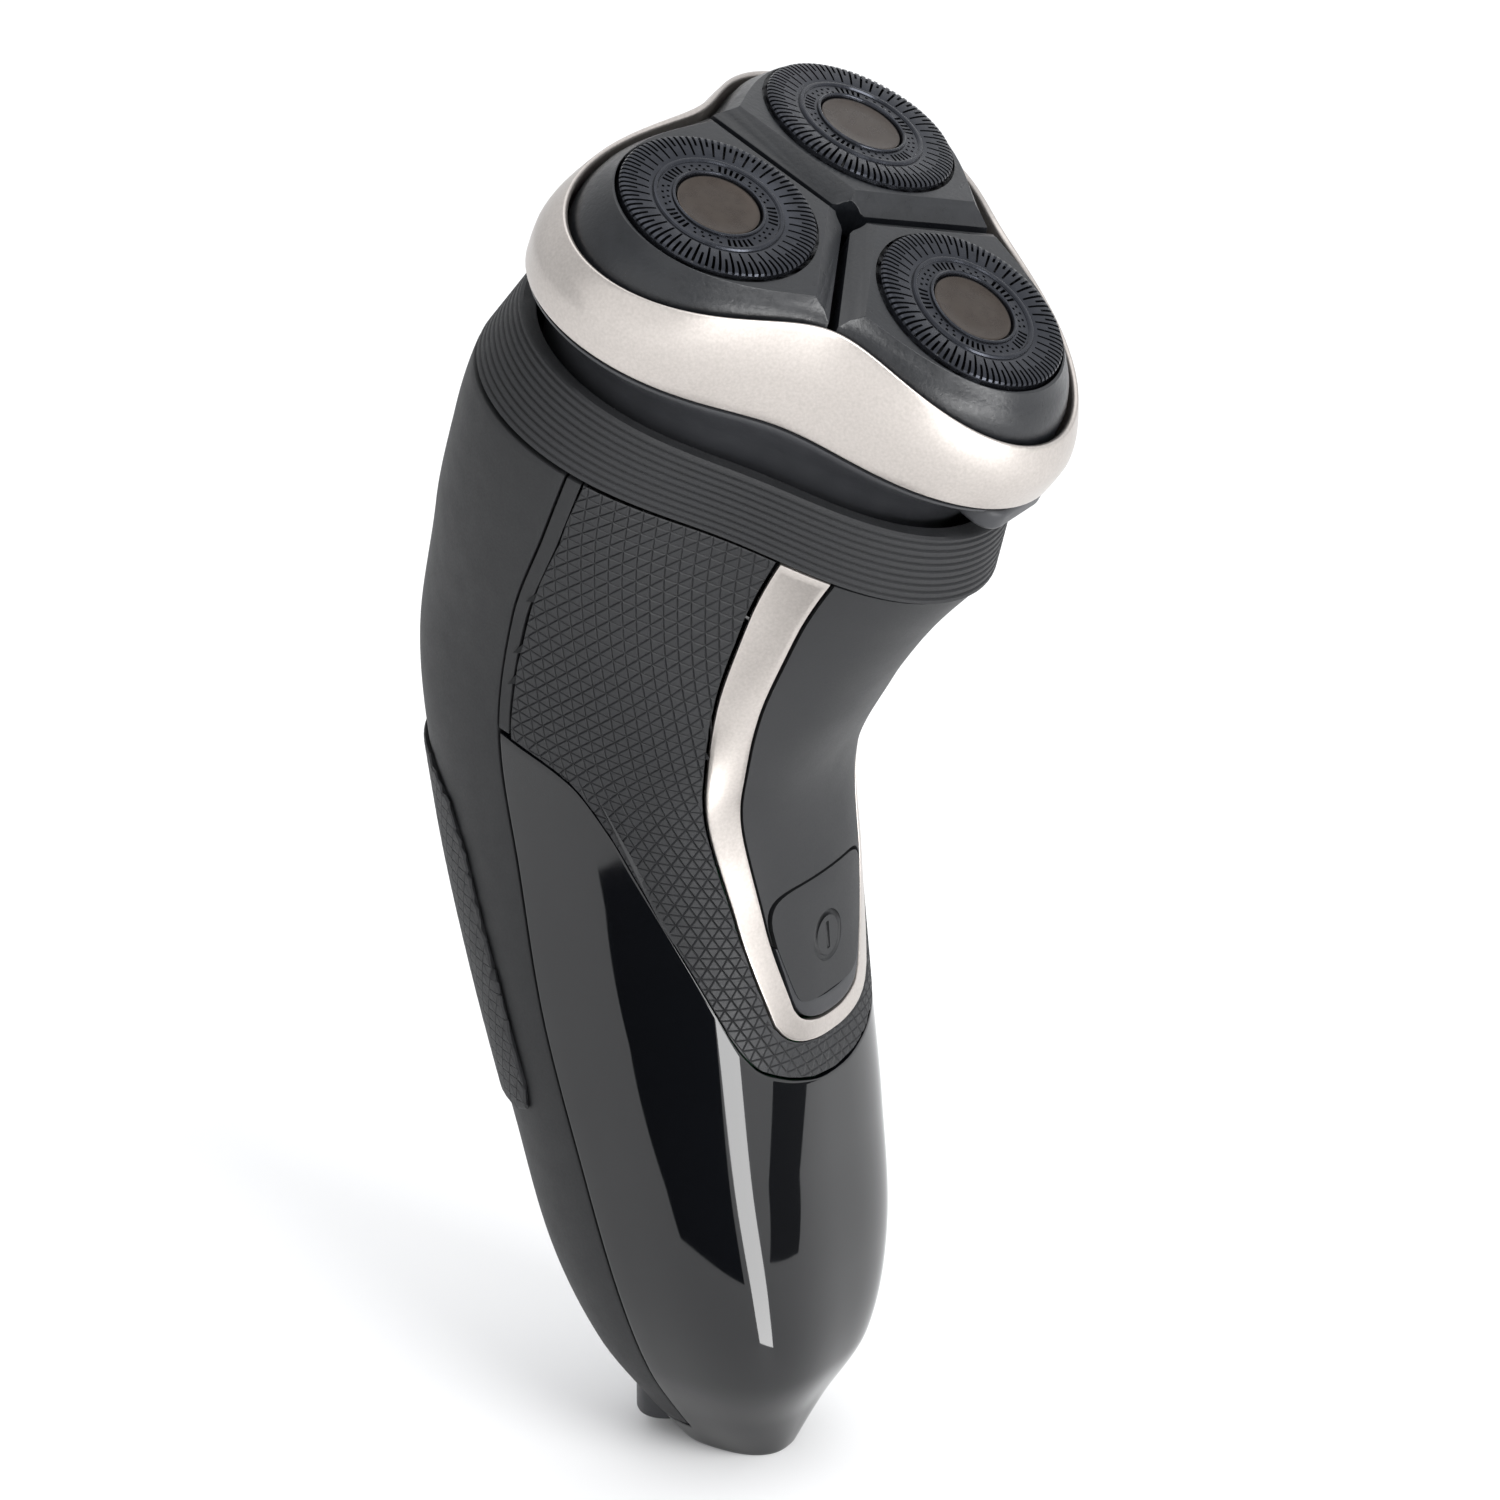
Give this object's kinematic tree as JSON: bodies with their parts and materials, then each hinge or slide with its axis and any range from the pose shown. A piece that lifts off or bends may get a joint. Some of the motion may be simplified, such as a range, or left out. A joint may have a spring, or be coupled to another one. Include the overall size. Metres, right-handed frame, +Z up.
{
  "type": "electric shaver",
  "caption": "Cordless rotary shaver: curved handle, pivoting lobed head that flips open, floating cutters in petals, pop-up trimmer and charging inlet.",
  "frame": {"origin": "middle of the flat on the lower tip of the handle", "axes": "+Z up the handle to the head, -Y towards the face with the power button, +X to the left hand side of the user who faces that button, left and right mirror each other in X = 0"},
  "size_m": [0.0658, 0.0816, 0.1688],
  "materials": {
    "gloss_black": "polished gloss",
    "satin_black": "satin",
    "soft_black": "soft-touch matt",
    "rubber_black": "matt rubber",
    "silver_paint": "satin silver paint",
    "guard_steel": "dark satin",
    "cap_steel": "satin",
    "steel": "ground",
    "nylon": "natural nylon",
    "board": "solder resist",
    "cell": "shrink sleeve",
    "motor_can": "plated",
    "brass": "plated"
  },
  "bodies": {
    "handle": {"front_shell": "gloss_black", "rear_shell": "soft_black", "grip": "rubber_black", "side_stripe": "silver_paint", "front_panel": "soft_black", "button_frame": "satin_black", "inlet_socket": "satin_black", "inlet_pin_left": "brass", "inlet_pin_right": "brass", "chassis": "satin_black", "battery": "cell", "circuit_board": "board", "power_switch": "satin_black", "neck_deck": "satin_black", "motor": "motor_can", "motor_screw_left": "steel", "motor_screw_right": "steel", "collar": "rubber_black"},
    "button": {"power_button": "soft_black"},
    "trimmer": {"trimmer_body": "satin_black", "trimmer_door": "soft_black", "trimmer_comb": "steel"},
    "trimmer_cutter": {"trimmer_blade": "steel"},
    "catch": {"trimmer_catch": "satin_black"},
    "coupler": {"drive_coupler": "nylon"},
    "gimbal": {"neck_gimbal": "steel"},
    "head": {"head_base": "satin_black", "gear_cover": "satin_black", "cover_screw_1": "steel", "cover_screw_2": "steel", "cover_screw_3": "steel", "lid_hinge_pin": "steel"},
    "tab": {"release_tab": "satin_black"},
    "sun": {"sun_gear": "nylon"},
    "lid": {"head_ring": "silver_paint", "cutter_retainer": "satin_black"},
    "knob": {"retainer_knob": "satin_black"},
    "petal_left": {"petal_left": "satin_black", "guard_left": "guard_steel", "guard_cap_left": "cap_steel"},
    "cutter_left": {"cutter_left": "steel"},
    "gear_left": {"drive_gear_left": "nylon"},
    "spindle_left": {"spindle_left": "steel", "spindle_spring_left": "steel"},
    "petal_right": {"petal_right": "satin_black", "guard_right": "guard_steel", "guard_cap_right": "cap_steel"},
    "cutter_right": {"cutter_right": "steel"},
    "gear_right": {"drive_gear_right": "nylon"},
    "spindle_right": {"spindle_right": "steel", "spindle_spring_right": "steel"},
    "petal_front": {"petal_front": "satin_black", "guard_front": "guard_steel", "guard_cap_front": "cap_steel"},
    "cutter_front": {"cutter_front": "steel"},
    "gear_front": {"drive_gear_front": "nylon"},
    "spindle_front": {"spindle_front": "steel", "spindle_spring_front": "steel"}
  },
  "joints": [
    {"name": "neck_nod", "type": "hinge", "parent": "handle", "child": "gimbal", "pos_m": [0, -0.00113, 0.13388], "axis": [1, 0, 0], "range_deg": [-4, 4], "stiffness_Nm_per_rad": 0.6},
    {"name": "neck_rock", "type": "hinge", "parent": "gimbal", "child": "head", "pos_m": [0, -0.00113, 0.13388], "axis": [0, 0.8829, 0.4695], "range_deg": [-4, 4], "stiffness_Nm_per_rad": 0.6},
    {"name": "sun_spin", "type": "hinge", "parent": "head", "child": "sun", "pos_m": [0, -0.0147, 0.1594], "axis": [0, -0.4695, 0.8829], "continuous": true},
    {"name": "coupler_spin", "type": "hinge", "parent": "handle", "child": "coupler", "pos_m": [0, -0.0147, 0.1594], "axis": [0, -0.4695, 0.8829], "continuous": true},
    {"name": "power_press", "type": "slide", "parent": "handle", "child": "button", "axis": [0, 1, 0], "range_m": [0, 0.0004], "stiffness_N_per_m": 800},
    {"name": "tab_press", "type": "slide", "parent": "head", "child": "tab", "axis": [0, 0.8829, 0.4695], "range_m": [0, 0.001], "stiffness_N_per_m": 600},
    {"name": "lid_open", "type": "hinge", "parent": "head", "child": "lid", "pos_m": [0, 0.01621, 0.15856], "axis": [-1, 0, 0], "range_deg": [0, 100]},
    {"name": "knob_turn", "type": "hinge", "parent": "lid", "child": "knob", "pos_m": [0, -0.0147, 0.1594], "axis": [0, -0.4695, 0.8829], "range_deg": [0, 90]},
    {"name": "petal_tilt_left", "type": "hinge", "parent": "lid", "child": "petal_left", "pos_m": [-0.02728, 0.00296, 0.15973], "axis": [0.5, 0.7647, 0.4066], "range_deg": [0, 4], "stiffness_Nm_per_rad": 0.5},
    {"name": "cutter_spin_left", "type": "hinge", "parent": "petal_left", "child": "cutter_left", "pos_m": [-0.01559, -0.00675, 0.16362], "axis": [-0.0815, -0.4258, 0.9011], "continuous": true},
    {"name": "gear_spin_left", "type": "hinge", "parent": "head", "child": "gear_left", "pos_m": [-0.01559, -0.00675, 0.16362], "axis": [0, -0.4695, 0.8829], "continuous": true},
    {"name": "spindle_slide_left", "type": "slide", "parent": "gear_left", "child": "spindle_left", "axis": [0, 0.4695, -0.8829], "range_m": [0, 0.0012]},
    {"name": "petal_tilt_right", "type": "hinge", "parent": "lid", "child": "petal_right", "pos_m": [0.02728, 0.00296, 0.15973], "axis": [0.5, -0.7647, -0.4066], "range_deg": [0, 4], "stiffness_Nm_per_rad": 0.5},
    {"name": "cutter_spin_right", "type": "hinge", "parent": "petal_right", "child": "cutter_right", "pos_m": [0.01559, -0.00675, 0.16362], "axis": [0.0815, -0.4258, 0.9011], "continuous": true},
    {"name": "gear_spin_right", "type": "hinge", "parent": "head", "child": "gear_right", "pos_m": [0.01559, -0.00675, 0.16362], "axis": [0, -0.4695, 0.8829], "continuous": true},
    {"name": "spindle_slide_right", "type": "slide", "parent": "gear_right", "child": "spindle_right", "axis": [0, 0.4695, -0.8829], "range_m": [0, 0.0012]},
    {"name": "petal_tilt_front", "type": "hinge", "parent": "lid", "child": "petal_front", "pos_m": [0, -0.03876, 0.13755], "axis": [-1, 0, 0], "range_deg": [0, 4], "stiffness_Nm_per_rad": 0.5},
    {"name": "cutter_spin_front", "type": "hinge", "parent": "petal_front", "child": "cutter_front", "pos_m": [0, -0.03059, 0.15095], "axis": [0, -0.5505, 0.8348], "continuous": true},
    {"name": "gear_spin_front", "type": "hinge", "parent": "head", "child": "gear_front", "pos_m": [0, -0.03059, 0.15095], "axis": [0, -0.4695, 0.8829], "continuous": true},
    {"name": "spindle_slide_front", "type": "slide", "parent": "gear_front", "child": "spindle_front", "axis": [0, 0.4695, -0.8829], "range_m": [0, 0.0012]},
    {"name": "trimmer_open", "type": "hinge", "parent": "handle", "child": "trimmer", "pos_m": [0, 0.03807, 0.10773], "axis": [-1, 0, 0], "range_deg": [0, 75]},
    {"name": "trimmer_blade_slide", "type": "slide", "parent": "trimmer", "child": "trimmer_cutter", "axis": [1, 0, 0], "range_m": [-0.001, 0.001]},
    {"name": "catch_slide", "type": "slide", "parent": "handle", "child": "catch", "axis": [0, 0.0308, 0.9995], "range_m": [0, 0.0025], "stiffness_N_per_m": 150}
  ],
  "couplings": [
    {"joint": "coupler_spin", "follows": "sun_spin", "ratio": 1},
    {"joint": "cutter_spin_left", "follows": "sun_spin", "ratio": -1.1818},
    {"joint": "gear_spin_left", "follows": "sun_spin", "ratio": -1.1818},
    {"joint": "spindle_slide_left", "follows": "petal_tilt_left", "m_per_rad": 0.0135},
    {"joint": "cutter_spin_right", "follows": "sun_spin", "ratio": -1.1818},
    {"joint": "gear_spin_right", "follows": "sun_spin", "ratio": -1.1818},
    {"joint": "spindle_slide_right", "follows": "petal_tilt_right", "m_per_rad": 0.0135},
    {"joint": "cutter_spin_front", "follows": "sun_spin", "ratio": -1.1818},
    {"joint": "gear_spin_front", "follows": "sun_spin", "ratio": -1.1818},
    {"joint": "spindle_slide_front", "follows": "petal_tilt_front", "m_per_rad": 0.0135}
  ]
}
